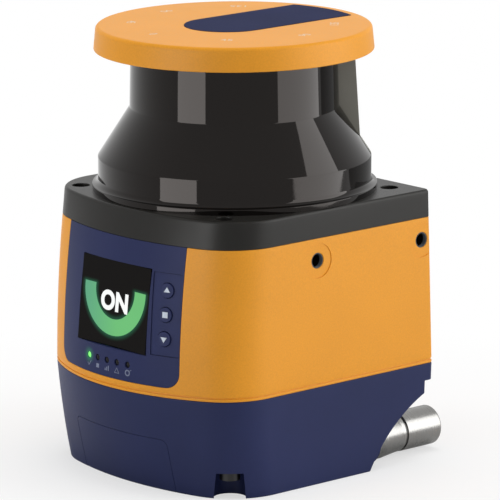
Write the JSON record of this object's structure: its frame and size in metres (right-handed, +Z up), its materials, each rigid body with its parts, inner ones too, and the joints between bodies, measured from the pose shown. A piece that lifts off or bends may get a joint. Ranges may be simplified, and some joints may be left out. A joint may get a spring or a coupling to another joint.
{
  "type": "safety laser scanner",
  "caption": "Floor-level machine safety laser scanner: rotating mirror behind a dark conical window, yellow housing with display and keys, blue foot with rear connectors.",
  "frame": {"origin": "on the floor under the mirror's axis", "axes": "+Z up along the mirror's axis, -Y towards the display side, +X towards the viewer's right seen from the display side"},
  "size_m": [0.0994, 0.116, 0.1522],
  "materials": {
    "yellow_paint": "fine textured amber yellow coating",
    "blue_plastic": "satin navy blue",
    "key_blue": "satin navy blue, a little lighter",
    "head_black": "fine grained charcoal",
    "window_black": "polished, dark infrared filter",
    "display_black": "clear coat over black",
    "rubber_black": "matt black",
    "screw_steel": "zinc plated",
    "insert_steel": "plain steel",
    "connector_nickel": "brushed nickel plating",
    "black_plastic": "moulded black",
    "contact_gold": "gold plated",
    "board_green": "solder mask green",
    "run_green": "lit light guide",
    "lens_dark": "unlit smoked light guide",
    "bearing_steel": "ground",
    "magnet_grey": "sintered ring",
    "coil_copper": "enamelled windings",
    "mirror_silver": "front-silvered",
    "lens_glass": "red filter lens",
    "flex_amber": "amber film"
  },
  "bodies": {
    "scanner": {"top_cap": "yellow_paint", "top_label": "blue_plastic", "cap_screws": "screw_steel", "top_plate": "head_black", "plate_screws": "screw_steel", "window_monitor_board": "board_green", "scan_window": "window_black", "window_seal": "rubber_black", "head_frame": "head_black", "head_screws": "screw_steel", "head_gasket": "rubber_black", "main_housing": "yellow_paint", "side_inserts": "insert_steel", "front_panel": "blue_plastic", "display_window": "display_black", "display_module": "black_plastic", "display_board": "board_green", "keypad_strip": "key_blue", "key_switches": "black_plastic", "keypad_board": "board_green", "run_lens": "run_green", "status_lenses": "lens_dark", "base_gasket": "rubber_black", "base_housing": "blue_plastic", "base_front_cover": "blue_plastic", "base_screws": "screw_steel", "connector_shell_right": "connector_nickel", "connector_shell_left": "connector_nickel", "connector_insert_right": "black_plastic", "connector_insert_left": "black_plastic", "contact_pins_right": "contact_gold", "contact_pins_left": "contact_gold", "connector_nuts": "connector_nickel", "connector_seals": "rubber_black", "motor_stator": "coil_copper", "lower_bearing": "bearing_steel", "upper_bearing": "bearing_steel", "encoder_sensor": "black_plastic", "pillar_flex": "flex_amber", "lens_barrel": "black_plastic", "receiver_lens": "lens_glass", "laser_module": "contact_gold", "detector_board": "board_green", "barrel_screws": "screw_steel", "main_board": "board_green", "power_board": "board_green", "board_spacers": "screw_steel"},
    "mirror_rotor": {"motor_rotor": "bearing_steel", "rotor_magnet": "magnet_grey", "mirror_head": "black_plastic", "scan_mirror": "mirror_silver", "encoder_disc": "bearing_steel"},
    "key_up_body": {"key_up": "key_blue"},
    "key_select_body": {"key_select": "key_blue"},
    "key_down_body": {"key_down": "key_blue"}
  },
  "joints": [
    {"name": "mirror_spin", "type": "hinge", "parent": "scanner", "child": "mirror_rotor", "pos_m": [0, 0, 0.13], "axis": [0, 0, 1], "continuous": true},
    {"name": "key_up_press", "type": "slide", "parent": "scanner", "child": "key_up_body", "axis": [-0.2992, 0.9489, -0.1006], "range_m": [0, 0.0005], "stiffness_N_per_m": 800},
    {"name": "key_select_press", "type": "slide", "parent": "scanner", "child": "key_select_body", "axis": [-0.2992, 0.9489, -0.1006], "range_m": [0, 0.0005], "stiffness_N_per_m": 800},
    {"name": "key_down_press", "type": "slide", "parent": "scanner", "child": "key_down_body", "axis": [-0.2992, 0.9489, -0.1006], "range_m": [0, 0.0005], "stiffness_N_per_m": 800}
  ]
}
